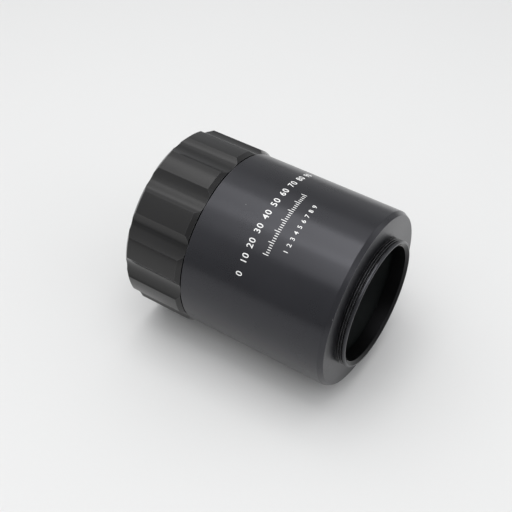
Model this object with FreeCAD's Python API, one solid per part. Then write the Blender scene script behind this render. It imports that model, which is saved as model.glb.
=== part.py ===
import FreeCAD, Part
import math
import os

# A focal reducer for a telescope: a barrel that carries four lenses, with a male
# camera thread on its nose and a loose fluted ring that screws onto the telescope.
# Millimetres. The optical axis is X: the camera is at +X and the telescope at -X.
# The origin is on the axis, in the plane of the shoulder that stops the camera.
# The part lies on its side with +Z up, on two lands of the fluted ring.

# Coupling ring: a 2 inch x 24 turns per inch female thread
telescope_thread_radius = 25.4
telescope_thread_pitch = 25.4 / 24
ring_wall = 4.45
ring_front_chamfer_length = 1.46
ring_rear_chamfer = 1.0
ring_length = 20.7
ring_lip_thickness = 2.9
ring_running_clearance = 0.07
ring_axial_play = 0.1
ring_chamber_relief = 0.2
ring_chamber_behind_hub = 0.5
mouth_chamfer = 0.5
flute_count = 12
flute_width_angle = 16.0
flute_depth = 1.1
lowest_flute_angle = 270.0

# Barrel, outside
barrel_below_lands = 0.85
barrel_length = 49.95
front_chamfer_length = 1.5
front_chamfer_height = 0.89
edge_break = 0.2

# Camera nose: an M42 x 0.75 thread
camera_thread_radius = 20.95
camera_thread_pitch = 0.75
nose_length = 3.05
nose_relief_width = 0.45
nose_tip_land = 0.4
nose_tip_chamfer = 0.3
nose_bevel_length = 0.7
nose_bevel_height = 1.2
nose_wall = 1.85
front_wall = 2.2

# Barrel, inside
hub_seat_width = 1.0
hub_socket_length = 10.0
baffle_seat_width = 0.7
baffle_seat_depth = 19.4

# Thread form shared by every thread: flats as shares of the pitch, and the flanks' lean
ridge_top_share = 0.125
ridge_gap_share = 0.25
flank_angle = 30.0
thread_clearance = 0.06
thread_entry = 0.4

# Captive hub
hub_flange_clearance = 0.23
hub_flange_thickness = 3.25
ring_trap_depth = 1.5
neck_step = 0.1
neck_face_gap = 0.05
fine_thread_pitch = 0.75
hub_wall = 2.4
hub_relief_width = 1.2
counterbore_wall = 1.6
counterbore_depth = 3.2

# Slip washer in the gap between the barrel and the ring
washer_thickness = 0.2
washer_inset = 1.35
washer_side_gap = 0.03
washer_ring_gap = 0.05
washer_neck_gap = 0.15

# Lens cell
cell_fit = 0.1
cell_wall = 1.0
cell_thread_step = 0.23
cell_flange_fit = 0.2
cell_flange_thickness = 1.3
cell_lip_width = 1.55
cell_lip_thickness = 2.0
retainer_thread_pitch = 0.5
retainer_recess = 0.3

# Lenses: two cemented pairs, with the thin element of each pair inwards
lens_fit = 0.05
outer_surface_radius = 95.0
cemented_surface_radius = 60.0
inner_surface_radius = 240.0
crown_thickness = 7.4
flint_thickness = 2.4
cement_gap = 0.02
glass_gap = 0.01
spacer_width = 1.35
spacer_thickness = 2.0

# Rings that hold the lenses and the cell
retainer_width = 1.75
retainer_thickness = 1.8
lens_cushion_inset = 0.65
lens_cushion_section = 1.2
lock_ring_step = 0.3
lock_ring_recess = 0.3
cell_cushion_step = 1.25
cell_cushion_section = 0.8
cushion_groove_play = 0.1
spanner_slot_width = 2.0
spanner_slot_depth = 0.8

# Glare baffle and its snap ring
baffle_thickness = 1.0
baffle_edge_thickness = 0.2
baffle_fit = 0.05
baffle_width = 4.95
snap_ring_thickness = 1.0
snap_ring_play = 0.05
snap_ring_standing = 1.1
snap_groove_depth = 0.8
snap_ring_groove_gap = 0.1
snap_ring_opening_angle = 26.0
snap_eye_radius = 1.4
snap_eye_hole_radius = 0.6

axis_start = FreeCAD.Vector(0, 0, 0)
axis_direction = FreeCAD.Vector(1, 0, 0)


def profile_point(place):
    x, radius = place
    return FreeCAD.Vector(x, 0, radius)


def turned(outline, sweep=360):
    """A solid turned round the optical axis from a closed outline of (x, radius) places."""
    corners = [profile_point(place) for place in outline]
    face = Part.Face(Part.makePolygon(corners + corners[:1]))
    return face.revolve(axis_start, axis_direction, sweep)


def thread_depth(pitch):
    flats = ridge_top_share + ridge_gap_share
    return pitch * (1 - flats) / 2 / math.tan(math.radians(flank_angle))


def flank_run(depth):
    return depth * math.tan(math.radians(flank_angle))


def ridges(low, high, pitch, top_radius, base_radius, top_share, in_step_with):
    """Thread ridges that fit whole between low and high x, as places from low x to high x.

    They stand a pitch apart, in step with a ridge centred at in_step_with.
    """
    half_top = pitch * top_share / 2
    half_foot = half_top + flank_run(abs(top_radius - base_radius))
    first = math.ceil((low + half_foot - in_step_with) / pitch)
    last = math.floor((high - half_foot - in_step_with) / pitch)
    places = []
    for step in range(first, last + 1):
        centre = in_step_with + step * pitch
        places += [
            (centre - half_foot, base_radius),
            (centre - half_top, top_radius),
            (centre + half_top, top_radius),
            (centre + half_foot, base_radius),
        ]
    return places


def male_thread(low, high, pitch, major_radius, in_step_with):
    base_radius = major_radius - thread_depth(pitch)
    return ridges(
        low, high, pitch, major_radius, base_radius, ridge_top_share, in_step_with
    )


def female_thread(low, high, pitch, major_radius, in_step_with):
    """Ridges of an internal thread, half a pitch out of step so that a male one fits between."""
    top_radius = major_radius - thread_depth(pitch)
    return ridges(
        low,
        high,
        pitch,
        top_radius,
        major_radius,
        ridge_gap_share,
        in_step_with + pitch / 2,
    )


# Radii that follow from the telescope's thread, outwards and then inwards
land_radius = telescope_thread_radius + ring_wall
barrel_radius = land_radius - barrel_below_lands
front_face_radius = barrel_radius - front_chamfer_height
telescope_minor_radius = telescope_thread_radius - thread_depth(telescope_thread_pitch)
hub_flange_radius = telescope_minor_radius - hub_flange_clearance
neck_radius = hub_flange_radius - ring_trap_depth
washer_outer_radius = barrel_radius - washer_inset
hub_thread_radius = neck_radius - neck_step
hub_bore_radius = hub_thread_radius - hub_wall
lock_ring_thread_radius = hub_flange_radius - counterbore_wall
lock_ring_minor_radius = lock_ring_thread_radius - thread_depth(fine_thread_pitch)
cell_flange_radius = lock_ring_minor_radius - cell_flange_fit
cell_radius = hub_bore_radius - cell_fit
cell_cushion_radius = cell_radius + cell_cushion_step
retainer_thread_radius = cell_radius - cell_wall
retainer_minor_radius = retainer_thread_radius - thread_depth(retainer_thread_pitch)
retainer_bore_radius = retainer_minor_radius - retainer_width
lock_ring_bore_radius = retainer_thread_radius + lock_ring_step
cell_bore_radius = retainer_minor_radius - cell_thread_step
lens_radius = cell_bore_radius - lens_fit
cell_aperture_radius = lens_radius - cell_lip_width
spacer_bore_radius = lens_radius - spacer_width
lens_cushion_radius = lens_radius - lens_cushion_inset
barrel_bore_radius = hub_thread_radius - hub_seat_width
chamber_radius = barrel_bore_radius - baffle_seat_width
snap_ring_bore_radius = barrel_bore_radius - snap_ring_standing
snap_groove_radius = barrel_bore_radius + snap_groove_depth
baffle_radius = barrel_bore_radius - baffle_fit
baffle_hole_radius = baffle_radius - baffle_width

# The bore of the nose follows from the camera's thread
port_radius = camera_thread_radius - nose_wall

# Places along the axis
barrel_rear = -barrel_length
hub_front = barrel_rear + hub_socket_length
washer_front = barrel_rear - washer_side_gap
washer_rear = washer_front - washer_thickness
ring_front = washer_rear - washer_ring_gap
ring_rear = ring_front - ring_length
lip_rear = ring_front - ring_lip_thickness
flange_front = lip_rear - ring_axial_play
hub_rear = flange_front - hub_flange_thickness
cell_seat = hub_rear + counterbore_depth
cell_rear = cell_seat - cell_flange_thickness
lock_ring_rear = hub_rear + lock_ring_recess
baffle_front = -baffle_seat_depth
baffle_rear = baffle_front - baffle_thickness
snap_ring_front = baffle_rear - snap_ring_play
snap_ring_rear = snap_ring_front - snap_ring_thickness
snap_groove_rear = snap_ring_rear - snap_ring_play


def nose_outline():
    """The outside of the nose, from its tip to the shoulder. The last ridge makes the tip."""
    depth = thread_depth(camera_thread_pitch)
    root_radius = camera_thread_radius - depth
    land_rear = nose_length - nose_tip_chamfer - nose_tip_land
    land_foot = land_rear - flank_run(depth)
    tip_ridge_centre = land_rear + camera_thread_pitch * ridge_top_share / 2
    places = [
        (nose_length, camera_thread_radius - nose_tip_chamfer),
        (nose_length - nose_tip_chamfer, camera_thread_radius),
        (land_rear, camera_thread_radius),
        (land_foot, root_radius),
    ]
    inner_ridges = male_thread(
        nose_relief_width,
        land_foot,
        camera_thread_pitch,
        camera_thread_radius,
        tip_ridge_centre,
    )
    places += reversed(inner_ridges)
    places.append((0, root_radius))
    return places


def snap_groove_outline():
    """The groove for the snap ring, from its low-x side to its high-x side."""
    return [
        (snap_groove_rear, barrel_bore_radius),
        (snap_groove_rear, snap_groove_radius),
        (baffle_rear, snap_groove_radius),
        (baffle_rear, barrel_bore_radius),
    ]


def adapter_barrel():
    """The one-piece body: camera nose, front wall, tube and the socket that takes the hub."""
    thread_low = barrel_rear + thread_entry
    thread_high = hub_front - hub_relief_width
    outline = [(nose_length, port_radius + nose_bevel_height)]
    outline += nose_outline()
    outline += [
        (0, front_face_radius),
        (-front_chamfer_length, barrel_radius),
        (barrel_rear + edge_break, barrel_radius),
        (barrel_rear, barrel_radius - edge_break),
        (barrel_rear, hub_thread_radius),
    ]
    outline += female_thread(
        thread_low, thread_high, fine_thread_pitch, hub_thread_radius, barrel_rear
    )
    outline += [
        (hub_front, hub_thread_radius),
        (hub_front, barrel_bore_radius),
    ]
    outline += snap_groove_outline()
    outline += [
        (baffle_front, barrel_bore_radius),
        (baffle_front, chamber_radius),
        (-front_wall, chamber_radius),
        (-front_wall, port_radius),
        (nose_length - nose_bevel_length, port_radius),
    ]
    return turned(outline)


def captive_hub():
    """Screws into the barrel and traps the coupling ring between its flange and the barrel."""
    male_radius = hub_thread_radius - thread_clearance
    root_radius = male_radius - thread_depth(fine_thread_pitch)
    neck_front = barrel_rear - neck_face_gap
    groove_half = cell_cushion_section / 2 + cushion_groove_play
    groove_floor = cell_seat + cell_cushion_section + glass_gap
    outline = [
        (hub_front, hub_bore_radius),
        (cell_seat, hub_bore_radius),
        (cell_seat, cell_cushion_radius - groove_half),
        (groove_floor, cell_cushion_radius - groove_half),
        (groove_floor, cell_cushion_radius + groove_half),
        (cell_seat, cell_cushion_radius + groove_half),
        (cell_seat, lock_ring_thread_radius),
    ]
    outline += reversed(
        female_thread(
            hub_rear, cell_rear, fine_thread_pitch, lock_ring_thread_radius, hub_rear
        )
    )
    outline += [
        (hub_rear, lock_ring_thread_radius),
        (hub_rear, hub_flange_radius - edge_break),
        (hub_rear + edge_break, hub_flange_radius),
        (flange_front, hub_flange_radius),
        (flange_front, neck_radius),
        (neck_front, neck_radius),
        (neck_front, root_radius),
    ]
    outline += male_thread(
        barrel_rear + thread_entry,
        hub_front - hub_relief_width,
        fine_thread_pitch,
        male_radius,
        barrel_rear,
    )
    outline.append((hub_front, root_radius))
    return turned(outline)


def ring_blank():
    """The coupling ring before its flutes are cut."""
    thread_high = hub_rear - ring_chamber_behind_hub
    thread_low = ring_rear + mouth_chamfer
    lip_bore = neck_radius + ring_running_clearance
    chamber = telescope_thread_radius + ring_chamber_relief
    outline = [
        (ring_front, lip_bore),
        (ring_front, barrel_radius),
        (ring_front - ring_front_chamfer_length, land_radius),
        (ring_rear + ring_rear_chamfer, land_radius),
        (ring_rear, land_radius - ring_rear_chamfer),
        (ring_rear, telescope_thread_radius + mouth_chamfer),
        (thread_low, telescope_thread_radius),
    ]
    outline += female_thread(
        thread_low,
        thread_high,
        telescope_thread_pitch,
        telescope_thread_radius,
        ring_rear,
    )
    outline += [
        (thread_high, telescope_thread_radius),
        (thread_high, chamber),
        (lip_rear, chamber),
        (lip_rear, lip_bore),
    ]
    return turned(outline)


def flute_cutter(angle):
    """A long round cutter that leaves one shallow flute at this angle from +Y towards +Z."""
    half = math.radians(flute_width_angle / 2)
    half_chord = land_radius * math.sin(half)
    sagitta = flute_depth - land_radius * (1 - math.cos(half))
    cutter_radius = (half_chord ** 2 + sagitta ** 2) / (2 * sagitta)
    centre_distance = land_radius - flute_depth + cutter_radius
    turn = math.radians(angle)
    start = FreeCAD.Vector(
        ring_rear - edge_break,
        centre_distance * math.cos(turn),
        centre_distance * math.sin(turn),
    )
    length = ring_length + 2 * edge_break
    return Part.makeCylinder(cutter_radius, length, start, axis_direction)


def coupling_ring():
    """The fluted ring that spins on the hub's neck and screws onto the telescope."""
    ring = ring_blank()
    for index in range(flute_count):
        angle = lowest_flute_angle + index * 360.0 / flute_count
        ring = ring.cut(flute_cutter(angle))
    return ring


def flat_ring(low, high, inner_radius, outer_radius):
    return turned(
        [
            (low, inner_radius),
            (low, outer_radius),
            (high, outer_radius),
            (high, inner_radius),
        ]
    )


def slip_washer():
    inner_radius = neck_radius + washer_neck_gap
    return flat_ring(washer_rear, washer_front, inner_radius, washer_outer_radius)


def sag(surface_radius, height):
    """How far a spherical surface falls back from its vertex at this height off the axis."""
    return surface_radius - math.sqrt(surface_radius ** 2 - height ** 2)


def cushion_back_off():
    """Distance from a crown's outer vertex to the centre of the cushion that presses on it."""
    reach = outer_surface_radius + lens_cushion_section / 2 + glass_gap
    return math.sqrt(reach ** 2 - lens_cushion_radius ** 2) - outer_surface_radius


# Lens stack, from the cell's camera-side seat back to the retainer
seat_to_vertex = sag(outer_surface_radius, cell_aperture_radius) - glass_gap
pair_thickness = crown_thickness + cement_gap + flint_thickness
spacer_sag = sag(inner_surface_radius, spacer_bore_radius)
vertex_gap = spacer_thickness + 2 * glass_gap - 2 * spacer_sag
cushion_reach = cushion_back_off() + lens_cushion_section / 2 + glass_gap
stack_length = 2 * pair_thickness + vertex_gap + cushion_reach - seat_to_vertex

retainer_rear = cell_rear + retainer_recess
retainer_front = retainer_rear + retainer_thickness
lens_seat = retainer_front + stack_length
cell_front = lens_seat + cell_lip_thickness
camera_vertex = lens_seat + seat_to_vertex
camera_cement = camera_vertex - crown_thickness
camera_inner_vertex = camera_vertex - pair_thickness
telescope_inner_vertex = camera_inner_vertex - vertex_gap
telescope_cement = telescope_inner_vertex - flint_thickness
telescope_vertex = telescope_inner_vertex - pair_thickness


def surface_arc(vertex, surface_radius, side):
    """The half section of a spherical surface that bulges to +X (side 1) or -X (side -1)."""
    places = []
    for height in (0, lens_radius / 2, lens_radius):
        x = vertex - side * sag(surface_radius, height)
        places.append(profile_point((x, height)))
    return Part.Arc(*places).toShape()


def lens(camera_surface, telescope_surface):
    """A lens from its two surfaces, each given as (vertex, radius, side that it bulges to)."""
    front = surface_arc(*camera_surface)
    back = surface_arc(*telescope_surface)
    rim = Part.makeLine(front.Vertexes[-1].Point, back.Vertexes[-1].Point)
    middle = Part.makeLine(front.Vertexes[0].Point, back.Vertexes[0].Point)
    face = Part.Face(Part.Wire([front, rim, back, middle]))
    return face.revolve(axis_start, axis_direction, 360)


def camera_side_crown():
    return lens(
        (camera_vertex, outer_surface_radius, 1),
        (camera_cement, cemented_surface_radius, -1),
    )


def camera_side_flint():
    return lens(
        (camera_cement - cement_gap, cemented_surface_radius, -1),
        (camera_inner_vertex, inner_surface_radius, -1),
    )


def telescope_side_flint():
    return lens(
        (telescope_inner_vertex, inner_surface_radius, 1),
        (telescope_cement, cemented_surface_radius, 1),
    )


def telescope_side_crown():
    return lens(
        (telescope_cement - cement_gap, cemented_surface_radius, 1),
        (telescope_vertex, outer_surface_radius, -1),
    )


def group_spacer():
    high = camera_inner_vertex + spacer_sag - glass_gap
    return flat_ring(high - spacer_thickness, high, spacer_bore_radius, lens_radius)


def lens_cell():
    """The tube that holds the lens stack. Its flange sits in the hub's counterbore."""
    thread_end = retainer_front + retainer_thread_pitch
    outline = [
        (cell_front, cell_aperture_radius + edge_break),
        (cell_front, cell_radius - edge_break),
        (cell_front - edge_break, cell_radius),
        (cell_seat, cell_radius),
        (cell_seat, cell_flange_radius),
        (cell_rear, cell_flange_radius),
        (cell_rear, retainer_thread_radius),
    ]
    outline += female_thread(
        cell_rear,
        thread_end,
        retainer_thread_pitch,
        retainer_thread_radius,
        retainer_rear,
    )
    outline += [
        (thread_end, retainer_thread_radius),
        (thread_end, cell_bore_radius),
        (lens_seat, cell_bore_radius),
        (lens_seat, cell_aperture_radius),
        (cell_front - edge_break, cell_aperture_radius),
    ]
    return turned(outline)


def with_spanner_slots(ring, rear, reach):
    """Cuts two slots across the telescope-side face of a threaded ring."""
    slots = Part.makeBox(
        spanner_slot_depth + edge_break,
        2 * reach,
        spanner_slot_width,
        FreeCAD.Vector(rear - edge_break, -reach, -spanner_slot_width / 2),
    )
    return ring.cut(slots)


def threaded_ring(rear, front, bore_radius, thread_radius, pitch, in_step_with):
    """A retaining ring with a male thread that runs in the mating female ridges."""
    male_radius = thread_radius - thread_clearance
    root_radius = male_radius - thread_depth(pitch)
    outline = [(front, root_radius), (front, bore_radius), (rear, bore_radius)]
    outline.append((rear, root_radius))
    outline += male_thread(rear, front, pitch, male_radius, in_step_with)
    return with_spanner_slots(turned(outline), rear, thread_radius)


def lens_retainer():
    return threaded_ring(
        retainer_rear,
        retainer_front,
        retainer_bore_radius,
        retainer_thread_radius,
        retainer_thread_pitch,
        retainer_rear,
    )


def cell_lock_ring():
    return threaded_ring(
        lock_ring_rear,
        cell_rear,
        lock_ring_bore_radius,
        lock_ring_thread_radius,
        fine_thread_pitch,
        hub_rear,
    )


def cushion(centre, ring_radius, section):
    place = FreeCAD.Vector(centre, 0, 0)
    return Part.makeTorus(ring_radius, section / 2, place, axis_direction)


def lens_cushion():
    centre = telescope_vertex - cushion_back_off()
    return cushion(centre, lens_cushion_radius, lens_cushion_section)


def cell_cushion():
    centre = cell_seat + cell_cushion_section / 2
    return cushion(centre, cell_cushion_radius, cell_cushion_section)


def glare_baffle():
    """A thin plate with a knife edge that keeps stray light off the camera."""
    bevel_radius = baffle_hole_radius + baffle_thickness - baffle_edge_thickness
    return turned(
        [
            (baffle_front, bevel_radius),
            (baffle_front, baffle_radius),
            (baffle_rear, baffle_radius),
            (baffle_rear, baffle_hole_radius),
            (baffle_rear + baffle_edge_thickness, baffle_hole_radius),
        ]
    )


def baffle_snap_ring():
    """An open spring ring with two eyes, sprung into the groove behind the baffle."""
    outer_radius = snap_groove_radius - snap_ring_groove_gap
    section = [
        (snap_ring_rear, snap_ring_bore_radius),
        (snap_ring_rear, outer_radius),
        (snap_ring_front, outer_radius),
        (snap_ring_front, snap_ring_bore_radius),
    ]
    ring = turned(section, 360 - snap_ring_opening_angle)
    ring.rotate(axis_start, axis_direction, snap_ring_opening_angle / 2)
    eye_angle = math.degrees(math.asin(snap_eye_radius / snap_ring_bore_radius))
    for side in (-1, 1):
        turn = math.radians(90 + side * (snap_ring_opening_angle / 2 + eye_angle))
        eye = FreeCAD.Vector(
            snap_ring_rear,
            snap_ring_bore_radius * math.cos(turn),
            snap_ring_bore_radius * math.sin(turn),
        )
        lug = Part.makeCylinder(snap_eye_radius, snap_ring_thickness, eye, axis_direction)
        hole = Part.makeCylinder(
            snap_eye_hole_radius, snap_ring_thickness, eye, axis_direction
        )
        ring = ring.fuse(lug).cut(hole)
    return ring.removeSplitter()


pieces = {
    "adapter_barrel": adapter_barrel,
    "captive_hub": captive_hub,
    "coupling_ring": coupling_ring,
    "slip_washer": slip_washer,
    "lens_cell": lens_cell,
    "cell_lock_ring": cell_lock_ring,
    "cell_cushion": cell_cushion,
    "camera_side_crown": camera_side_crown,
    "camera_side_flint": camera_side_flint,
    "group_spacer": group_spacer,
    "telescope_side_flint": telescope_side_flint,
    "telescope_side_crown": telescope_side_crown,
    "lens_cushion": lens_cushion,
    "lens_retainer": lens_retainer,
    "glare_baffle": glare_baffle,
    "baffle_snap_ring": baffle_snap_ring,
}

os.makedirs("parts", exist_ok=True)
for name, make in pieces.items():
    shape = make()
    shape.exportStep(f"parts/{name}.step")
    box = shape.BoundBox
    print(
        f"{name}: {len(shape.Solids)} solid, valid {shape.isValid()}, "
        f"volume {shape.Volume:.2f}, x {box.XMin:.3f} to {box.XMax:.3f}, "
        f"radius {box.YMax:.3f}, lowest {box.ZMin:.3f}"
    )
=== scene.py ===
import math
import bmesh
import bpy
from mathutils import Matrix, Vector


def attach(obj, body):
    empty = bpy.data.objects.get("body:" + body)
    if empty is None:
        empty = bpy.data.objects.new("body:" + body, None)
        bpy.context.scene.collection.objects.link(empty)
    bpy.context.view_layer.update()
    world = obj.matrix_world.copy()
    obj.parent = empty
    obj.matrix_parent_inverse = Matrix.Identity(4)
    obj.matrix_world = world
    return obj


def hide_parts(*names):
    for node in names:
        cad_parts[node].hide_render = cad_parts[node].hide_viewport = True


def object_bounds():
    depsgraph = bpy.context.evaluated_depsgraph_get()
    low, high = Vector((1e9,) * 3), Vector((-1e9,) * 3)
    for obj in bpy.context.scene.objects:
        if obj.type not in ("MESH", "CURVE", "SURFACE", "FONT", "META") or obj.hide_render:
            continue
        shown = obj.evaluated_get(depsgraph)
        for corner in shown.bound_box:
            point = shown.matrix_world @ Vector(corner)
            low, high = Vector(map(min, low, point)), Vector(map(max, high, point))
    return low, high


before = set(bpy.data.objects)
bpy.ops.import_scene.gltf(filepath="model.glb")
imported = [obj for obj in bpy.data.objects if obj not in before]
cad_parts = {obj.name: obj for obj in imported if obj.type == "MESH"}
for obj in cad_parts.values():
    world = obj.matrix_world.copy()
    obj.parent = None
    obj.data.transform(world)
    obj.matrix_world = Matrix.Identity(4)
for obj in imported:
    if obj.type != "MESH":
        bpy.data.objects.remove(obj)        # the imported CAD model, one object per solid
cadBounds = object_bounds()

mm = 0.001               # sizes below are in millimetres, Blender works in metres
print("frame loaded:", len(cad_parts), "solids")


# camera, floor and light

cameraSet = {"place": (73.43, -186.83, 208.92), "turn": (45.909, -1.298, 32.738), "lens": 66.3, "sensor": 36,
             "clipStart": 5}
floorSet = {"size": 6000, "gap": 0.01, "colour": (0.735, 0.735, 0.73), "farColour": (0.48, 0.48, 0.48),
            "centre": (-60, 60, 0), "near": 245, "far": 450, "fibreSize": 1.2, "fibreShade": 0.985,
            "roughness": 0.85, "shine": 0.2}
# softboxes round the object: compass angle from +X towards +Y, height angle, and brightness
lightSet = {"distance": 648, "side": 376, "centre": (-31, 0, 0), "boxes": {
    "overhead": (0, 90, 2.95), "left": (180, 62, 0.95), "frontLeft": (225, 62, 0.62), "front": (270, 62, 1.62),
    "frontRight": (315, 62, 0.60), "back": (90, 62, 0.35), "backLeft": (135, 62, 0.64), "rightLow": (0, 28, 0.82),
    "backRightLow": (45, 28, 0.66), "backLow": (90, 28, 0.08), "backLeftLow": (135, 28, 0.12),
    "frontLeftLow": (225, 28, 0.34)}}
worldSet = {"colour": (0.97, 0.98, 1.0), "strength": 0.50}


def makeCamera(values):
    data = bpy.data.cameras.new("photoCamera")
    data.lens = values["lens"]
    data.sensor_width = values["sensor"]
    data.clip_start = values["clipStart"] * mm
    camera = bpy.data.objects.new("photoCamera", data)
    bpy.context.scene.collection.objects.link(camera)
    camera.location = Vector(values["place"]) * mm
    camera.rotation_euler = [math.radians(angle) for angle in values["turn"]]
    bpy.context.scene.camera = camera


# a square lamp that faces the object, its power set so that brightness is what its surface shows
def makeSoftbox(name, compass, height, brightness):
    data = bpy.data.lights.new(name, "AREA")
    data.shape = "SQUARE"
    data.size = lightSet["side"] * mm
    data.energy = brightness * math.pi * data.size ** 2
    softbox = bpy.data.objects.new(name, data)
    bpy.context.scene.collection.objects.link(softbox)
    compass, height = math.radians(compass), math.radians(height)
    level = math.cos(height)
    direction = Vector((math.cos(compass) * level, math.sin(compass) * level, math.sin(height)))
    softbox.location = (Vector(lightSet["centre"]) + direction * lightSet["distance"]) * mm
    softbox.rotation_euler = (-direction).to_track_quat("-Z", "Y").to_euler()


makeCamera(cameraSet)
for lightName, (compass, height, brightness) in lightSet["boxes"].items():
    makeSoftbox(lightName, compass, height, brightness)

world = bpy.data.worlds.new("studio")
world.use_nodes = True
background = world.node_tree.nodes["Background"]
background.inputs["Color"].default_value = (*worldSet["colour"], 1)
background.inputs["Strength"].default_value = worldSet["strength"]
bpy.context.scene.world = world
bpy.context.scene.view_settings.view_transform = "Standard"
print("camera and lights placed")


# shader node groups

def newGroup(name, inputs, outputs):
    group = bpy.data.node_groups.new(name, "ShaderNodeTree")
    for socketName, kind, value in inputs:
        socket = group.interface.new_socket(socketName, in_out="INPUT", socket_type=kind)
        socket.default_value = value
    for socketName, kind in outputs:
        group.interface.new_socket(socketName, in_out="OUTPUT", socket_type=kind)
    start = group.nodes.new("NodeGroupInput")
    end = group.nodes.new("NodeGroupOutput")
    return group, start, end


# an input takes another node's output, a colour or a plain number
def feed(tree, socket, value):
    if isinstance(value, bpy.types.NodeSocket):
        tree.links.new(value, socket)
    elif isinstance(value, tuple):
        socket.default_value = (*value, 1)
    else:
        socket.default_value = value


def addNode(tree, kind, settings=None, **inputs):
    node = tree.nodes.new(kind)
    for key, value in (settings or {}).items():
        setattr(node, key, value)
    for key, value in inputs.items():
        feed(tree, node.inputs[key], value)
    return node


def addMath(tree, operation, *numbers):
    node = addNode(tree, "ShaderNodeMath", {"operation": operation})
    for socket, value in zip(node.inputs, numbers):
        feed(tree, socket, value)
    return node.outputs[0]


def addRange(tree, value, low, high, toLow, toHigh):
    node = addNode(tree, "ShaderNodeMapRange", Value=value)
    for key, number in (("From Min", low), ("From Max", high), ("To Min", toLow), ("To Max", toHigh)):
        feed(tree, node.inputs[key], number)
    return node.outputs["Result"]


# inputs 6 and 7 are the mix node's two colours
def addMix(tree, factor, first, second):
    node = addNode(tree, "ShaderNodeMix", {"data_type": "RGBA"})
    for index, value in ((0, factor), (6, first), (7, second)):
        feed(tree, node.inputs[index], value)
    return node.outputs[2]


def addNoise(tree, place, scale, detail=2.0, roughness=0.5):
    return addNode(tree, "ShaderNodeTexNoise", Vector=place, Scale=scale, Detail=detail, Roughness=roughness).outputs[0]


# anodised or coated metal that came off a lathe: grain, cloudiness and fine rings round the X axis
def makeTurnedSkin():
    cloudSize, cloudShare = 14, 0.5
    low, high = 0.35, 0.65       # the part of a noise's range that is used
    group, start, end = newGroup(
        "turnedSkin",
        [("Colour", "NodeSocketColor", (0.02, 0.02, 0.02, 1)),
         ("Cloud Colour", "NodeSocketColor", (0.03, 0.03, 0.03, 1)),
         ("Grain Size mm", "NodeSocketFloat", 0.25), ("Ring Pitch mm", "NodeSocketFloat", 0.12),
         ("Ring Depth", "NodeSocketFloat", 0.3), ("Low Roughness", "NodeSocketFloat", 0.3),
         ("High Roughness", "NodeSocketFloat", 0.4)],
        [("Colour", "NodeSocketColor"), ("Roughness", "NodeSocketFloat"), ("Height", "NodeSocketFloat")])
    place = addNode(group, "ShaderNodeTexCoord").outputs["Object"]
    parts = addNode(group, "ShaderNodeSeparateXYZ", Vector=place)
    across = addMath(group, "POWER", parts.outputs["Y"], 2)
    upwards = addMath(group, "POWER", parts.outputs["Z"], 2)
    radius = addMath(group, "SQRT", addMath(group, "ADD", across, upwards))
    alongRings = addNode(group, "ShaderNodeCombineXYZ", X=parts.outputs["X"], Y=radius)
    ringScale = addMath(group, "DIVIDE", 1 / mm, start.outputs["Ring Pitch mm"])
    grainScale = addMath(group, "DIVIDE", 1 / mm, start.outputs["Grain Size mm"])
    rings = addNoise(group, alongRings.outputs[0], ringScale)
    grain = addNoise(group, place, grainScale)
    cloud = addNoise(group, place, 1 / (cloudSize * mm), detail=3.0, roughness=0.6)
    clouds = addMath(group, "MULTIPLY", addRange(group, cloud, low, high, 0.0, 1.0), cloudShare)
    speckle = addMath(group, "MULTIPLY", addRange(group, grain, low, high, 0.0, 1.0), 1 - cloudShare)
    mixed = addMath(group, "ADD", clouds, speckle)
    group.links.new(addMix(group, mixed, start.outputs["Colour"], start.outputs["Cloud Colour"]), end.inputs["Colour"])
    roughness = addRange(group, mixed, 0.0, 1.0, start.outputs["Low Roughness"], start.outputs["High Roughness"])
    group.links.new(roughness, end.inputs["Roughness"])
    ringHeight = addMath(group, "MULTIPLY", rings, start.outputs["Ring Depth"])
    group.links.new(addMath(group, "ADD", ringHeight, grain), end.inputs["Height"])
    return group


# where an edge is: the bevelled normal leaves the true one there, broken up by a little noise; a lighter colour is laid
# there, partly edge wear and partly a painted highlight
def makeEdgeRub():
    patchSize, leastWearAndHighlight = 1.6, 0.45
    flat, sharp = 0.995, 0.85    # cosines of the angle between the two normals
    group, start, end = newGroup(
        "edgeWearAndHighlight",
        [("Width mm", "NodeSocketFloat", 0.12), ("Strength", "NodeSocketFloat", 1.0)],
        [("Mask", "NodeSocketFloat")])
    width = addMath(group, "MULTIPLY", start.outputs["Width mm"], mm)
    bevel = addNode(group, "ShaderNodeBevel", {"samples": 4}, Radius=width)
    geometry = addNode(group, "ShaderNodeNewGeometry")
    facing = addNode(group, "ShaderNodeVectorMath", {"operation": "DOT_PRODUCT"})
    group.links.new(bevel.outputs[0], facing.inputs[0])
    group.links.new(geometry.outputs["Normal"], facing.inputs[1])
    place = addNode(group, "ShaderNodeTexCoord").outputs["Object"]
    patches = addNoise(group, place, 1 / (patchSize * mm), detail=3.0)
    broken = addRange(group, patches, 0.3, 0.7, leastWearAndHighlight, 1.0)
    edge = addRange(group, facing.outputs["Value"], flat, sharp, 0.0, 1.0)
    mask = addMath(group, "MULTIPLY", addMath(group, "MULTIPLY", edge, broken), start.outputs["Strength"])
    group.links.new(mask, end.inputs["Mask"])
    return group


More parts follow.
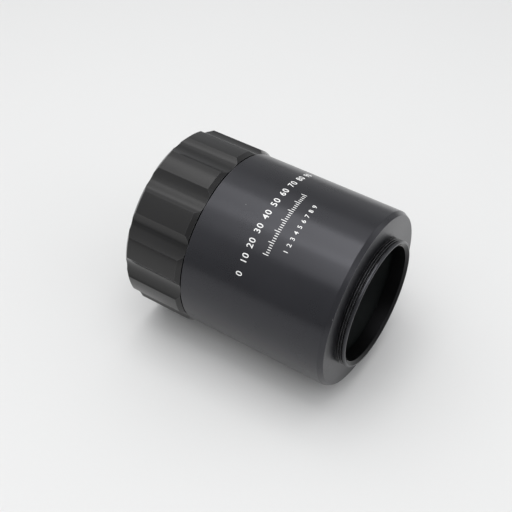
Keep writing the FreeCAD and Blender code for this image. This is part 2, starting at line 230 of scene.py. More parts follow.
# small light specks of lint, one in a few of the cells
def makeLint():
    emptyShare = 0.7
    group, start, end = newGroup(
        "lint",
        [("Spacing mm", "NodeSocketFloat", 4.0), ("Size", "NodeSocketFloat", 0.04)],
        [("Mask", "NodeSocketFloat")])
    place = addNode(group, "ShaderNodeTexCoord").outputs["Object"]
    scale = addMath(group, "DIVIDE", 1 / mm, start.outputs["Spacing mm"])
    cells = addNode(group, "ShaderNodeTexVoronoi", Vector=place, Scale=scale)
    near = addMath(group, "LESS_THAN", cells.outputs["Distance"], start.outputs["Size"])
    draw = addNode(group, "ShaderNodeSeparateColor", Color=cells.outputs["Color"])
    chosen = addMath(group, "GREATER_THAN", draw.outputs["Red"], emptyShare)
    group.links.new(addMath(group, "MULTIPLY", near, chosen), end.inputs["Mask"])
    return group


turnedSkin = makeTurnedSkin()
edgeWearAndHighlight = makeEdgeRub()
lint = makeLint()


def addGroup(tree, group, **values):
    node = tree.nodes.new("ShaderNodeGroup")
    node.node_tree = group
    for key, value in values.items():
        node.inputs[key].default_value = value
    return node


def newMaterial(name):
    material = bpy.data.materials.new(name)
    material.use_nodes = True
    tree = material.node_tree
    return material, tree, tree.nodes["Principled BSDF"]


# a skin's roughness and bump go to the shader, and its colour is handed back
def addSkin(tree, shader, values):
    lowRoughness, highRoughness = values["roughness"]
    skin = addGroup(tree, turnedSkin, **{
        "Colour": (*values["colour"], 1), "Cloud Colour": (*values["cloudColour"], 1),
        "Grain Size mm": values["grain"], "Ring Pitch mm": values["ringPitch"], "Ring Depth": values["ringDepth"],
        "Low Roughness": lowRoughness, "High Roughness": highRoughness})
    bump = addNode(tree, "ShaderNodeBump", Strength=values["bump"], Distance=values["bumpDepth"] * mm,
                   Height=skin.outputs["Height"])
    tree.links.new(skin.outputs["Roughness"], shader.inputs["Roughness"])
    tree.links.new(bump.outputs[0], shader.inputs["Normal"])
    return skin.outputs["Colour"]


def blackMetal(name, values):
    material, tree, shader = newMaterial(name)
    wearAndHighlight = addGroup(tree, edgeWearAndHighlight, **{"Width mm": values["edgeWidth"], "Strength": values["edgeStrength"]})
    # edges are painted lighter: partly wear, partly a painted edge highlight
    colour = addMix(tree, wearAndHighlight.outputs["Mask"], addSkin(tree, shader, values), values["edgeColour"])
    if values["lint"]:
        spacing, size = values["lint"]
        specks = addGroup(tree, lint, **{"Spacing mm": spacing, "Size": size})
        colour = addMix(tree, specks.outputs["Mask"], colour, values["lintColour"])
    tree.links.new(colour, shader.inputs["Base Color"])
    # the lathe's grooves run round the axis and spread a reflection across themselves
    tangent = addNode(tree, "ShaderNodeTangent", {"direction_type": "RADIAL", "axis": "X"})
    tree.links.new(tangent.outputs[0], shader.inputs["Tangent"])
    shader.inputs["Anisotropic"].default_value = values["stretch"]
    shader.inputs["Anisotropic Rotation"].default_value = values["stretchTurn"]
    shader.inputs["Metallic"].default_value = values["metallic"]
    shader.inputs["Specular IOR Level"].default_value = values["shine"]
    shader.inputs["Specular Tint"].default_value = (*values["tint"], 1)
    return material


# edgeColour, edgeWidth and edgeStrength set the lighter edge band: partly wear, partly a painted highlight
barrelFinish = {
    "colour": (0.006, 0.006, 0.0075), "cloudColour": (0.010, 0.010, 0.012), "grain": 0.22, "ringPitch": 0.10,
    "ringDepth": 0.5, "roughness": (0.27, 0.30), "edgeWidth": 0.13, "edgeStrength": 1.0,
    "edgeColour": (0.24, 0.24, 0.25), "bump": 0.05, "bumpDepth": 0.02, "metallic": 0.0, "shine": 0.55,
    "tint": (0.92, 0.925, 1.0), "stretch": 0.7, "stretchTurn": 0.25, "lint": (4.2, 0.035),
    "lintColour": (0.16, 0.16, 0.155)}
gripFinish = dict(barrelFinish, colour=(0.004, 0.004, 0.004), cloudColour=(0.007, 0.007, 0.007), grain=0.18,
                  roughness=(0.18, 0.23), ringDepth=0.2, edgeStrength=0.7, shine=0.47, tint=(1.0, 0.99, 0.99),
                  lint=None)
hubFinish = dict(barrelFinish, lint=None, roughness=(0.36, 0.44))
cellFinish = dict(barrelFinish, lint=None, colour=(0.012, 0.012, 0.013), roughness=(0.45, 0.55), edgeStrength=0.5)
baffleFinish = dict(cellFinish, colour=(0.006, 0.006, 0.006), cloudColour=(0.012, 0.012, 0.012),
                    roughness=(0.65, 0.8), ringDepth=0.1)
threadFinish = dict(barrelFinish, lint=None, colour=(0.002, 0.002, 0.0022), cloudColour=(0.004, 0.004, 0.0044),
                    roughness=(0.20, 0.26), stretch=0.3, shine=0.14, edgeStrength=0.6)
boreFinish = dict(threadFinish, colour=(0.001, 0.001, 0.001), cloudColour=(0.002, 0.002, 0.002),
                  roughness=(0.30, 0.36), shine=0.3, edgeStrength=0)
bevelFinish = dict(boreFinish, roughness=(0.18, 0.24), shine=0.12)
# the nose tip takes a weaker painted edge highlight
noseFinish = dict(barrelFinish, lint=None, edgeStrength=0.7)
# the chamber's black is lightened and tinted green: a painted reflection of the green glint from the coated lenses
# inside
chamberFinishAndGlint = dict(baffleFinish, colour=(0.006, 0.0085, 0.007), cloudColour=(0.010, 0.013, 0.011), edgeStrength=0)
springFinish = dict(cellFinish, colour=(0.05, 0.05, 0.055), cloudColour=(0.09, 0.085, 0.08), metallic=0.8,
                    roughness=(0.35, 0.5))

barrelAnodise = blackMetal("barrelAnodise", barrelFinish)
gripAnodise = blackMetal("gripAnodise", gripFinish)
hubAnodise = blackMetal("hubAnodise", hubFinish)
cellAnodise = blackMetal("cellAnodise", cellFinish)
baffleBlack = blackMetal("baffleBlack", baffleFinish)
threadBlack = blackMetal("threadBlack", threadFinish)
boreBlack = blackMetal("boreBlack", boreFinish)
bevelBlack = blackMetal("bevelBlack", bevelFinish)
noseAnodise = blackMetal("noseAnodise", noseFinish)
chamberPaintAndGlint = blackMetal("chamberPaintAndGlint", chamberFinishAndGlint)
springSteel = blackMetal("springSteel", springFinish)


# plain soft materials: a fine grain, a little cloudiness and a matching bump, but no turned rings
softFinish = {"ringPitch": 2.0, "ringDepth": 0.0, "bumpDepth": 0.05}
rubberFinish = dict(softFinish, colour=(0.010, 0.010, 0.010), cloudColour=(0.022, 0.022, 0.022), grain=0.15,
                    roughness=(0.6, 0.75), bump=0.3)
filmFinish = dict(softFinish, colour=(0.016, 0.016, 0.017), cloudColour=(0.030, 0.030, 0.030), grain=0.3,
                  roughness=(0.35, 0.5), bump=0.1)
inkFinish = dict(softFinish, colour=(0.80, 0.80, 0.79), cloudColour=(0.92, 0.92, 0.91), grain=0.12,
                 roughness=(0.5, 0.62), bump=0.25)
edgePaintFinish = dict(softFinish, colour=(0.008, 0.008, 0.008), cloudColour=(0.02, 0.02, 0.02), grain=0.1,
                       roughness=(0.7, 0.85), bump=0.3)


def softMaterial(name, values):
    material, tree, shader = newMaterial(name)
    tree.links.new(addSkin(tree, shader, values), shader.inputs["Base Color"])
    return material


nitrileRubber = softMaterial("nitrileRubber", rubberFinish)
washerFilm = softMaterial("washerFilm", filmFinish)
markInk = softMaterial("markInk", inkFinish)
glassEdgePaint = softMaterial("glassEdgePaint", edgePaintFinish)


# polished glass with a greenish coating and a trace of haze
glassFinish = {"colour": (0.93, 0.97, 0.94), "hazeColour": (0.97, 0.99, 0.98), "hazeSize": 5, "hazeRoughness": 0.05,
               "coating": (0.45, 0.85, 0.62), "index": 1.52}


def makeGlass(values):
    material, tree, shader = newMaterial("coatedGlass")
    place = addNode(tree, "ShaderNodeTexCoord").outputs["Object"]
    haze = addNoise(tree, place, 1 / (values["hazeSize"] * mm), detail=4.0, roughness=0.65)
    roughness = addRange(tree, haze, 0.45, 0.75, 0.0, values["hazeRoughness"])
    tree.links.new(roughness, shader.inputs["Roughness"])
    tree.links.new(addMix(tree, haze, values["colour"], values["hazeColour"]), shader.inputs["Base Color"])
    shader.inputs["Transmission Weight"].default_value = 1.0
    shader.inputs["IOR"].default_value = values["index"]
    shader.inputs["Specular Tint"].default_value = (*values["coating"], 1)
    return material


coatedGlass = makeGlass(glassFinish)
print("materials made:", len(bpy.data.materials))


# tools for the pieces

weldReach = 0.0002                           # points closer than this become one
flankSlope = math.tan(math.radians(30))      # how far a thread's flank leans for each mm of its height


def nothingSelected():
    if bpy.context.mode != "OBJECT":
        bpy.ops.object.mode_set(mode="OBJECT")
    bpy.ops.object.select_all(action="DESELECT")


def distanceFromAxis(place):
    return math.hypot(place.y, place.z)


# edit mode: selects the vertices that the test takes, with the edges and faces between them
def selectWhere(test):
    shape = bmesh.from_edit_mesh(bpy.context.object.data)
    for vertex in shape.verts:
        vertex.select_set(bool(test(vertex.co)))
    shape.select_flush(True)
    bmesh.update_edit_mesh(bpy.context.object.data)


# edit mode: selects the edges with both ends taken by the test, and nothing else
def selectEdgesWhere(test):
    bpy.ops.mesh.select_mode(type="EDGE")
    shape = bmesh.from_edit_mesh(bpy.context.object.data)
    for edge in shape.edges:
        edge.select_set(False)
    for edge in shape.edges:
        if test(edge.verts[0].co, edge.verts[1].co):
            edge.select_set(True)
    bmesh.update_edit_mesh(bpy.context.object.data)


# a ring at the first station, extruded and scaled from station to station and closed on itself
def turnPiece(name, stations, steps=192):
    nothingSelected()
    x, radius = stations[0][:2]
    bpy.ops.mesh.primitive_circle_add(
        vertices=steps, radius=radius * mm, location=(x * mm, 0, 0), rotation=(0, math.pi / 2, 0))
    piece = bpy.context.object
    piece.name = name
    piece.data.name = name
    bpy.ops.object.transform_apply(location=True, rotation=True, scale=True)
    bpy.ops.object.mode_set(mode="EDIT")
    bpy.ops.mesh.select_all(action="SELECT")
    for station in stations[1:]:
        nextX, nextRadius = station[:2]
        growth = nextRadius / radius
        bpy.ops.mesh.extrude_edges_move(TRANSFORM_OT_translate={"value": ((nextX - x) * mm, 0, 0)})
        bpy.ops.transform.resize(value=(1, growth, growth), center_override=(nextX * mm, 0, 0))
        x, radius = nextX, nextRadius
    bpy.ops.mesh.select_all(action="DESELECT")
    bpy.ops.mesh.select_non_manifold()
    bpy.ops.mesh.bridge_edge_loops()
    return piece


# rounds the edges that run round the axis at the stations that give a width for it
def roundStations(stations):
    close = 0.002
    for station in stations:
        if len(station) < 3:
            continue
        x, radius, width = station

        def atStation(place):
            return (abs(place.x / mm - x) < close
                    and abs(distanceFromAxis(place) / mm - radius) < close)

        selectEdgesWhere(lambda first, second: atStation(first) and atStation(second))
        bpy.ops.mesh.bevel(offset=width * mm, offset_type="OFFSET", segments=2, affect="EDGES")


# welds, smooths, gives the piece its material and its body, and hides the CAD node whose place it takes
def finishPiece(piece, material, body, node, angle=24):
    if bpy.context.mode != "EDIT_MESH":
        bpy.ops.object.mode_set(mode="EDIT")
    bpy.ops.mesh.select_all(action="SELECT")
    bpy.ops.mesh.remove_doubles(threshold=weldReach * mm)
    bpy.ops.mesh.normals_make_consistent(inside=False)
    bpy.ops.object.mode_set(mode="OBJECT")
    bpy.ops.object.shade_smooth_by_angle(angle=math.radians(angle))
    weighted = piece.modifiers.new("evenShade", "WEIGHTED_NORMAL")
    weighted.keep_sharp = True
    bpy.ops.object.modifier_apply(modifier=weighted.name)
    piece.data.materials.clear()
    piece.data.materials.append(material)
    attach(piece, body)
    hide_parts(node)
    print("made", piece.name, len(piece.data.polygons), "faces")


# the ridges of a thread between two places, as stations from low x to high x
def threadStations(low, high, thread, inStepWith):
    lean = flankSlope * abs(thread["crest"] - thread["root"])
    halfCrest = thread["pitch"] * thread["crestShare"] / 2
    halfFoot = halfCrest + lean
    first = math.ceil((low + halfFoot - inStepWith) / thread["pitch"])
    last = math.floor((high - halfFoot - inStepWith) / thread["pitch"])
    stations = []
    for step in range(first, last + 1):
        centre = inStepWith + step * thread["pitch"]
        stations += [(centre - halfFoot, thread["root"]), (centre - halfCrest, thread["crest"]),
                     (centre + halfCrest, thread["crest"]), (centre + halfFoot, thread["root"])]
    return stations


# barrel

barrelSet = {
    "radius": 29.0, "rear": -49.95, "faceRadius": 28.11, "chamferLength": 1.5, "noseTip": 3.05, "tipChamfer": 0.3,
    "tipLand": 0.4, "boreBevel": (0.7, 1.2), "portRadius": 19.1, "frontWall": 2.2, "chamberRadius": 21.3,
    "boreRadius": 22.0, "stopFront": -19.4, "clipGroove": (-21.5, -20.4, 22.8), "socketFront": -39.95,
    "socketRadius": 23.0, "edgeBreak": 0.2,
    "noseThread": {"crest": 20.95, "root": 20.544, "pitch": 0.75, "crestShare": 0.125}, "noseRelief": 0.45,
    "socketThread": {"crest": 22.594, "root": 23.0, "pitch": 0.75, "crestShare": 0.25}, "socketLead": 0.4,
    "socketRelief": 1.2,
    "rounding": {"tip": 0.05, "crest": 0.04, "face": 0.12, "skin": 0.18, "port": 0.1},
}


barrelMaterials = [barrelAnodise, threadBlack, boreBlack, chamberPaintAndGlint, bevelBlack, noseAnodise]


# which of them a face at this place takes
def barrelMaterialAt(values, x, radius):
    close, wide = 0.02, 0.05
    tip, port, wall = values["noseTip"], values["portRadius"], -values["frontWall"]
    crestRear = tip - values["tipChamfer"]
    bevelLength, bevelHeight = values["boreBevel"]
    nose = values["noseThread"]
    if close < x < crestRear and nose["root"] - close < radius < nose["crest"] - 2 * close:
        return threadBlack
    if x > tip - bevelLength and radius < port + bevelHeight - wide:
        return bevelBlack
    if x > crestRear - values["tipLand"]:
        return noseAnodise
    if x > wall and radius < port + wide:
        return boreBlack
    # the inner chamber takes black paint with the painted green glint
    if x < wall + close and radius < values["socketRadius"] + close:
        return chamberPaintAndGlint
    return barrelAnodise


def makeBarrel(values):
    tip, rear, small = values["noseTip"], values["rear"], values["edgeBreak"]
    radius, port, bore = values["radius"], values["portRadius"], values["boreRadius"]
    wall, chamber = -values["frontWall"], values["chamberRadius"]
    stop, socket, socketRadius = values["stopFront"], values["socketFront"], values["socketRadius"]
    nose, socketThread, rounding = values["noseThread"], values["socketThread"], values["rounding"]
    grooveRear, grooveFront, grooveRadius = values["clipGroove"]
    bevelLength, bevelHeight = values["boreBevel"]
    crestFront = tip - values["tipChamfer"]
    landRear = crestFront - values["tipLand"]
    ridgeFoot = landRear - (nose["crest"] - nose["root"]) * flankSlope
    inStepWith = landRear + nose["pitch"] * nose["crestShare"] / 2
    stations = [(tip, port + bevelHeight, rounding["tip"]),
                (tip, nose["crest"] - values["tipChamfer"], rounding["tip"]),
                (crestFront, nose["crest"], rounding["crest"]), (landRear, nose["crest"]), (ridgeFoot, nose["root"])]
    stations += reversed(threadStations(values["noseRelief"], ridgeFoot, nose, inStepWith))
    stations += [(0, nose["root"]), (0, values["faceRadius"], rounding["face"]),
                 (-values["chamferLength"], radius, rounding["skin"]), (rear + small, radius), (rear, radius - small),
                 (rear, socketRadius)]
    stations += threadStations(rear + values["socketLead"], socket - values["socketRelief"], socketThread,
                               rear + socketThread["pitch"] / 2)
    stations += [(socket, socketRadius), (socket, bore), (grooveRear, bore), (grooveRear, grooveRadius),
                 (grooveFront, grooveRadius), (grooveFront, bore), (stop, bore), (stop, chamber), (wall, chamber),
                 (wall, port, rounding["port"]), (tip - bevelLength, port, rounding["tip"])]
    piece = turnPiece("barrelTube", stations)
    roundStations(stations)
    finishPiece(piece, barrelMaterials[0], "barrel", "adapter_barrel")
    for material in barrelMaterials[1:]:
        piece.data.materials.append(material)
    for face in piece.data.polygons:
        place = face.center / mm
        face.material_index = barrelMaterials.index(barrelMaterialAt(values, place.x, distanceFromAxis(place)))


makeBarrel(barrelSet)


# fluted grip ring

gripSet = {
    "front": -50.23, "rear": -70.93, "radius": 29.85, "frontRadius": 29.0, "frontChamfer": 1.46, "rearChamfer": 1.0,
    "lipRear": -53.13, "lipBore": 23.167, "chamberRadius": 25.6, "threadFront": -56.98, "mouthChamfer": 0.5,
    "flutes": 12, "fluteHalfAngle": 8, "fluteDepth": 1.3, "lowestFlute": 270, "edgeWidth": 0.05, "steps": 360,
    "weld": 0.0005, "smoothAngle": 18,
    "thread": {"crest": 24.827, "root": 25.4, "pitch": 25.4 / 24, "crestShare": 0.25},
}


# how far the flute's round floor is from the axis, this many degrees off its middle
def fluteRadius(values, degrees):
    half = math.radians(values["fluteHalfAngle"])
    halfChord = values["radius"] * math.sin(half)
    sagitta = values["fluteDepth"] - values["radius"] * (1 - math.cos(half))
    cutter = (halfChord ** 2 + sagitta ** 2) / (2 * sagitta)
    reach = values["radius"] - values["fluteDepth"] + cutter
    turn = math.radians(degrees)
    return reach * math.cos(turn) - math.sqrt(cutter ** 2 - (reach * math.sin(turn)) ** 2)


def degreesOffFlute(values, place):
    pitch = 360 / values["flutes"]
    angle = math.degrees(math.atan2(place.z, place.y)) - values["lowestFlute"]
    return abs((angle + pitch / 2) % pitch - pitch / 2)


# the ring has a column of points for each degree, and those of the flutes are pressed inwards
def pressFlutes(values):
    close, columnReach = 0.01, 0.3
    radius, frontChamfer, rearChamfer = values["radius"], values["frontChamfer"], values["rearChamfer"]
    slope = frontChamfer / (radius - values["frontRadius"])
    front, rear = values["front"] - close, values["rear"] + close
    middle = (front + rear) / 2
    for degrees in range(values["fluteHalfAngle"]):
        floor = fluteRadius(values, degrees)

        def inColumn(place, height):
            return (abs(degreesOffFlute(values, place) - degrees) < columnReach
                    and abs(distanceFromAxis(place) / mm - height) < close)

        def pressColumn(height):
            shrink = floor / height
            bpy.ops.transform.resize(value=(1, shrink, shrink), center_override=(0, 0, 0))

        # the land's two outer stations go down to the floor, and along the chamfers to meet it
        selectWhere(lambda place: inColumn(place, radius))
        pressColumn(radius)
        forward = min(frontChamfer, (radius - floor) * slope)
        backward = min(rearChamfer, radius - floor)
        selectWhere(lambda place: inColumn(place, floor) and middle < place.x / mm < front)
        bpy.ops.transform.translate(value=(forward * mm, 0, 0))
        selectWhere(lambda place: inColumn(place, floor) and rear < place.x / mm < middle)
        bpy.ops.transform.translate(value=(-backward * mm, 0, 0))
        # the end faces' outer edges follow where the floor is deeper than they are
        for edge in (values["frontRadius"], radius - rearChamfer):
            if floor < edge:
                selectWhere(lambda place: inColumn(place, edge) and not rear < place.x / mm < front)
                pressColumn(edge)


def makeGrip(values):
    front, rear, radius = values["front"], values["rear"], values["radius"]
    thread, threadFront, mouth = values["thread"], values["threadFront"], values["mouthChamfer"]
    stations = [(front, values["lipBore"]), (front, values["frontRadius"]), (front - values["frontChamfer"], radius),
                (rear + values["rearChamfer"], radius), (rear, radius - values["rearChamfer"]),
                (rear, thread["root"] + mouth), (rear + mouth, thread["root"])]
    stations += threadStations(rear + mouth, threadFront, thread, rear + thread["pitch"] / 2)
    stations += [(threadFront, thread["root"]), (threadFront, values["chamberRadius"]),
                 (values["lipRear"], values["chamberRadius"]), (values["lipRear"], values["lipBore"])]
    piece = turnPiece("gripRing", stations, values["steps"])
    pressFlutes(values)
    bpy.ops.mesh.select_all(action="SELECT")
    bpy.ops.mesh.remove_doubles(threshold=values["weld"] * mm)

    closeAngle, close, longEdge = 0.1, 0.01, 5

    def onFluteEdge(place):
        return (abs(degreesOffFlute(values, place) - values["fluteHalfAngle"]) < closeAngle
                and abs(distanceFromAxis(place) / mm - radius) < close)

    selectEdgesWhere(lambda first, second: onFluteEdge(first) and onFluteEdge(second)
                     and abs(first.x - second.x) > longEdge * mm)
    bpy.ops.mesh.bevel(offset=values["edgeWidth"] * mm, offset_type="OFFSET", segments=2, affect="EDGES")
    finishPiece(piece, gripAnodise, "ring", "coupling_ring", values["smoothAngle"])


makeGrip(gripSet)


# captive hub, lens cell and the rings that hold them

hubSet = {
    "front": -39.95, "rear": -56.48, "boreRadius": 20.597, "neckFront": -50.0, "neckRadius": 23.097,
    "flangeFront": -53.23, "flangeRadius": 24.597, "edgeBreak": 0.2, "seat": -53.28, "grooveFloor": -52.47,
    "groove": (21.247, 22.247),
    "thread": {"crest": 22.937, "root": 22.531, "pitch": 0.75, "crestShare": 0.125}, "threadRear": -49.55,
    "threadRelief": 1.2, "inStepWith": -49.95,
    "counterbore": {"crest": 22.591, "root": 22.997, "pitch": 0.75, "crestShare": 0.25}, "boreRelief": 1.3,
    "rounding": {"bore": 0.06, "flange": 0.05},
}


def makeHub(values):
    front, rear, small, seat = values["front"], values["rear"], values["edgeBreak"], values["seat"]
    inner, outer = values["groove"]
    thread, bore, rounding = values["thread"], values["counterbore"], values["rounding"]
    flange, flangeFront, neck = values["flangeRadius"], values["flangeFront"], values["neckRadius"]
    stations = [(front, values["boreRadius"]), (seat, values["boreRadius"]), (seat, inner),
                (values["grooveFloor"], inner), (values["grooveFloor"], outer), (seat, outer), (seat, bore["root"])]
    stations += reversed(threadStations(rear, seat - values["boreRelief"], bore, rear + bore["pitch"] / 2))
    stations += [(rear, bore["root"], rounding["bore"]), (rear, flange - small, rounding["flange"]),
                 (rear + small, flange, rounding["flange"]), (flangeFront, flange, rounding["flange"]),
                 (flangeFront, neck), (values["neckFront"], neck), (values["neckFront"], thread["root"])]
    stations += threadStations(values["threadRear"], front - values["threadRelief"], thread, values["inStepWith"])
    stations += [(front, thread["root"])]
    piece = turnPiece("hubSleeve", stations)
    roundStations(stations)
    finishPiece(piece, hubAnodise, "barrel", "captive_hub")


cellSet = {
    "front": -32.255, "rear": -54.58, "radius": 20.497, "flangeRadius": 22.391, "seat": -53.28, "boreRadius": 18.997,
    "aperture": 17.397, "lensSeat": -34.255, "edgeBreak": 0.2, "rounding": 0.05,
    "thread": {"crest": 19.227, "root": 19.497, "pitch": 0.5, "crestShare": 0.25}, "threadFront": -51.98,
    "inStepWith": -54.03,
}


def makeCell(values):
    front, rear, small, rounding = values["front"], values["rear"], values["edgeBreak"], values["rounding"]
    radius, flange, bore, aperture = values["radius"], values["flangeRadius"], values["boreRadius"], values["aperture"]
    seat, lensSeat, thread, threadFront = values["seat"], values["lensSeat"], values["thread"], values["threadFront"]
    stations = [(front, aperture + small), (front, radius - small), (front - small, radius), (seat, radius),
                (seat, flange), (rear, flange, rounding), (rear, thread["root"], rounding)]
    stations += threadStations(rear, threadFront, thread, values["inStepWith"])
    stations += [(threadFront, thread["root"]), (threadFront, bore), (lensSeat, bore), (lensSeat, aperture),
                 (front - small, aperture)]
    piece = turnPiece("lensCellTube", stations)
    roundStations(stations)
    finishPiece(piece, cellAnodise, "barrel", "lens_cell")


lockRingSet = {
    "name": "cellLockRing", "node": "cell_lock_ring", "front": -54.58, "rear": -56.18, "boreRadius": 19.797,
    "thread": {"crest": 22.937, "root": 22.531, "pitch": 0.75, "crestShare": 0.125}, "inStepWith": -56.48,
    "edgeBreak": 0.15, "slotWidth": 2.0, "slotDepth": 0.8,
}
retainerSet = {
    "name": "lensRetainerRing", "node": "lens_retainer", "front": -52.48, "rear": -54.28, "boreRadius": 17.477,
    "thread": {"crest": 19.437, "root": 19.166, "pitch": 0.5, "crestShare": 0.125}, "inStepWith": -54.28,
    "edgeBreak": 0.15, "slotWidth": 2.0, "slotDepth": 0.8,
}


# a threaded ring, with two spanner slots cut straight across its rear face
def makeSlottedRing(values):
    front, rear, bore, small = values["front"], values["rear"], values["boreRadius"], values["edgeBreak"]
    thread = values["thread"]
    stations = [(front, thread["root"]), (front, bore), (rear + small, bore), (rear, bore + small),
                (rear, thread["root"])]
    stations += threadStations(rear, front, thread, values["inStepWith"])
    piece = turnPiece(values["name"], stations)
    bpy.ops.mesh.select_all(action="SELECT")
    bpy.ops.mesh.normals_make_consistent(inside=False)
    nothingSelected()
    cutterHeight, cutterLength = 2, 2 * thread["crest"] + 4
    bpy.ops.mesh.primitive_cube_add(
        size=1, location=((rear + values["slotDepth"] - cutterHeight / 2) * mm, 0, 0),
        scale=(cutterHeight * mm, cutterLength * mm, values["slotWidth"] * mm))
    cutter = bpy.context.object
    nothingSelected()
    piece.select_set(True)
    bpy.context.view_layer.objects.active = piece
    cut = piece.modifiers.new("spannerSlots", "BOOLEAN")
    cut.operation = "DIFFERENCE"
    cut.solver = "EXACT"
    cut.object = cutter
    bpy.ops.object.modifier_apply(modifier=cut.name)
    bpy.data.objects.remove(cutter)
    finishPiece(piece, cellAnodise, "barrel", values["node"])


stopSet = {"front": -19.4, "rear": -20.4, "radius": 21.947, "hole": 16.997, "edge": 0.2, "rounding": 0.03}


def makeGlareStop(values):
    front, rear, rounding = values["front"], values["rear"], values["rounding"]
    bevelRadius = values["hole"] + (front - rear) - values["edge"]
    stations = [(front, bevelRadius, rounding), (front, values["radius"], rounding), (rear, values["radius"]),
                (rear, values["hole"]), (rear + values["edge"], values["hole"])]
    piece = turnPiece("glareStop", stations)
    roundStations(stations)
    finishPiece(piece, baffleBlack, "barrel", "glare_baffle")


makeHub(hubSet)
makeCell(cellSet)
makeSlottedRing(lockRingSet)
makeSlottedRing(retainerSet)
makeGlareStop(stopSet)


# lenses

# each surface: vertex x, radius of curvature, and 1 if it bulges to the camera or -1 to the telescope
lensSet = {
    "radius": 18.947, "rings": 14, "innermost": 0.4, "steps": 128, "smoothAngle": 40,
    "glasses": {
        "frontCrown": {"node": "camera_side_crown", "near": (-32.659, 95, 1), "far": (-40.059, 60, -1)},
        "frontFlint": {"node": "camera_side_flint", "near": (-40.079, 60, -1), "far": (-42.479, 240, -1)},
        "rearFlint": {"node": "telescope_side_flint", "near": (-43.207, 240, 1), "far": (-45.607, 60, 1)},
        "rearCrown": {"node": "telescope_side_crown", "near": (-45.627, 60, 1), "far": (-53.027, 95, -1)},
    },
}


# from the middle of the surface out to the rim
def surfaceStations(values, surface):
    vertex, curve, side = surface
    innermost, rings = values["innermost"], values["rings"]
    stations = []
    for step in range(rings + 1):
        height = innermost + (values["radius"] - innermost) * step / rings
        stations.append((vertex - side * (curve - math.sqrt(curve ** 2 - height ** 2)), height))
    return stations


# turned like the metal, but open at both ends, which are then filled and given a centre point
def makeLens(name, glass, values):
    stations = surfaceStations(values, glass["near"]) + list(reversed(surfaceStations(values, glass["far"])))
    piece = turnPiece(name, stations, values["steps"])
    close = 0.02 * mm
    opening = values["innermost"] * mm + close
    selectWhere(lambda place: distanceFromAxis(place) < opening)
    bpy.ops.mesh.delete(type="ONLY_FACE")
    for vertexX in (stations[0][0], stations[-1][0]):
        selectWhere(lambda place: distanceFromAxis(place) < opening and abs(place.x - vertexX * mm) < close)
        bpy.ops.mesh.edge_face_add()
        bpy.ops.mesh.poke()
    finishPiece(piece, coatedGlass, "barrel", glass["node"], values["smoothAngle"])
    # the ground rim, whose faces look straight out from the axis, is painted
    piece.data.materials.append(glassEdgePaint)
    mostTilt = 0.05
    for face in piece.data.polygons:
        if abs(face.normal.x) < mostTilt:
            face.material_index = 1


for lensName, glass in lensSet["glasses"].items():
    makeLens(lensName, glass, lensSet)


# printed scale

# angles run round the axis from +Y, and a figure's advance, height in the font and swelling are shares of a size
scaleSet = {
    "lift": 0.012, "thickness": 0.012, "advance": 0.80, "capHeight": 0.73, "swelling": 0.012,
    "rows": (
        {"x": -30.4, "height": 2.1, "numbers": range(0, 100, 10), "from": 149.0, "to": 63.0},
        {"x": -19.85, "height": 1.5, "numbers": range(1, 10), "from": 126.5, "to": 93.0},
    ),
    "ticks": {"x": -24.85, "from": 132.5, "to": 87.5, "count": 31, "longEach": 5, "long": 1.9, "short": 1.1,
              "width": 0.22, "corner": 0.05},
}


# stands a flat piece on the barrel at this angle, its top towards the telescope
def placeOnBarrel(piece, x, angle):
    turn = math.radians(angle)
    rightwards = Vector((0, math.sin(turn), -math.cos(turn)))
    upwards = Vector((-1, 0, 0))
    outwards = Vector((0, math.cos(turn), math.sin(turn)))
    reach = barrelSet["radius"] + scaleSet["lift"]
    spot = Vector((x, 0, 0)) + outwards * reach
    matrix = Matrix((rightwards, upwards, outwards)).transposed().to_4x4()
    matrix.translation = spot * mm
    piece.matrix_world = matrix
    nothingSelected()
    piece.select_set(True)
    bpy.context.view_layer.objects.active = piece
    bpy.ops.object.transform_apply(location=True, rotation=True, scale=True)


def makeDigit(digit, height, x, angle):
    nothingSelected()
    bpy.ops.object.text_add()
    text = bpy.context.object
    text.data.body = digit
    text.data.align_x = "CENTER"
    text.data.size = height / scaleSet["capHeight"] * mm
    text.data.extrude = scaleSet["thickness"] * mm
    text.data.offset = scaleSet["swelling"] * height * mm
    bpy.ops.object.convert(target="MESH")
    piece = bpy.context.object
    placeOnBarrel(piece, x, angle)
    return piece


def makeTick(length, x, angle):
    nothingSelected()
    ticks = scaleSet["ticks"]
    bpy.ops.mesh.primitive_cube_add(size=1)
    piece = bpy.context.object
    piece.scale = (ticks["width"] * mm, length * mm, 2 * scaleSet["thickness"] * mm)
    bpy.ops.object.transform_apply(location=True, rotation=True, scale=True)
    bpy.ops.object.mode_set(mode="EDIT")
    selectEdgesWhere(lambda first, second: abs(first.z - second.z) > scaleSet["thickness"] * mm)
    bpy.ops.mesh.bevel(offset=ticks["corner"] * mm, segments=2, affect="EDGES")
    bpy.ops.mesh.select_all(action="SELECT")
    bpy.ops.transform.translate(value=(0, length / 2 * mm, 0))
    bpy.ops.object.mode_set(mode="OBJECT")
    placeOnBarrel(piece, x, angle)
    return piece


# the place of one of so many marks that are spread evenly
def spreadAngle(values, index, count):
    return values["from"] + (values["to"] - values["from"]) * index / (count - 1)


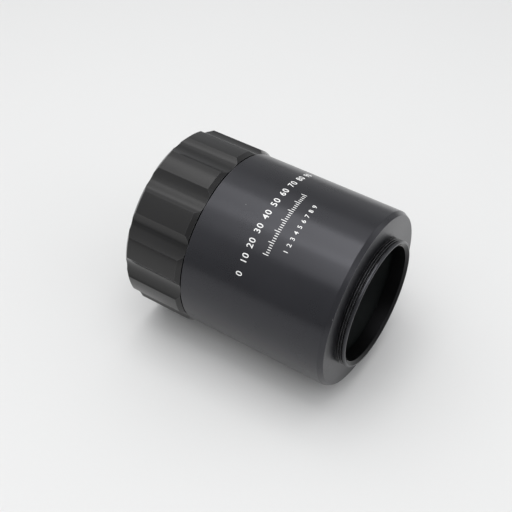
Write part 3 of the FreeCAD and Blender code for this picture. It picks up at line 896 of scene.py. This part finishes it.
def makeScale(values):
    marks = []
    for row in values["rows"]:
        advance = math.degrees(row["height"] * values["advance"] / barrelSet["radius"])
        for index, number in enumerate(row["numbers"]):
            middle = spreadAngle(row, index, len(row["numbers"]))
            digits = str(number)
            for place, digit in enumerate(digits):
                angle = middle - advance * (place - (len(digits) - 1) / 2)
                marks.append(makeDigit(digit, row["height"], row["x"], angle))
    ticks = values["ticks"]
    for index in range(ticks["count"]):
        length = ticks["short"] if index % ticks["longEach"] else ticks["long"]
        marks.append(makeTick(length, ticks["x"], spreadAngle(ticks, index, ticks["count"])))
    nothingSelected()
    for mark in marks:
        mark.select_set(True)
    bpy.context.view_layer.objects.active = marks[0]
    bpy.ops.object.join()
    piece = bpy.context.object
    piece.name = "printedScale"
    piece.data.name = "printedScale"
    piece.data.materials.clear()
    piece.data.materials.append(markInk)
    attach(piece, "barrel")
    print("made printedScale from", len(marks), "marks")


makeScale(scaleSet)


# finishes of the CAD nodes that stay

nodeFinishes = {"slip_washer": washerFilm, "cell_cushion": nitrileRubber, "lens_cushion": nitrileRubber,
                "group_spacer": cellAnodise, "baffle_snap_ring": springSteel}
for nodeName, finish in nodeFinishes.items():
    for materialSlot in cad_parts[nodeName].material_slots:
        materialSlot.material = finish
print("CAD nodes finished:", len(nodeFinishes))


# floor

def makeFloor(values):
    nothingSelected()
    lowest = cadBounds[0][2]
    bpy.ops.mesh.primitive_plane_add(size=values["size"] * mm, location=(0, 0, lowest - values["gap"] * mm))
    floor = bpy.context.object
    floor.name = "paperFloor"
    material, tree, shader = newMaterial("floorPaper")
    place = addNode(tree, "ShaderNodeTexCoord").outputs["Object"]
    fibre = addNoise(tree, place, 1 / (values["fibreSize"] * mm), detail=3.0)
    shade = tuple(values["fibreShade"] * part for part in values["colour"])
    paper = addMix(tree, fibre, shade, values["colour"])
    # the pale paper fades to a darker colour far from the object, which dims what the metal reflects
    away = addNode(tree, "ShaderNodeVectorMath", {"operation": "DISTANCE"})
    tree.links.new(place, away.inputs[0])
    away.inputs[1].default_value = Vector(values["centre"]) * mm
    fade = addRange(tree, away.outputs["Value"], values["near"] * mm, values["far"] * mm, 0.0, 1.0)
    tree.links.new(addMix(tree, fade, paper, values["farColour"]), shader.inputs["Base Color"])
    shader.inputs["Roughness"].default_value = values["roughness"]
    shader.inputs["Specular IOR Level"].default_value = values["shine"]
    floor.data.materials.append(material)


makeFloor(floorSet)
print("floor laid")

nothingSelected()
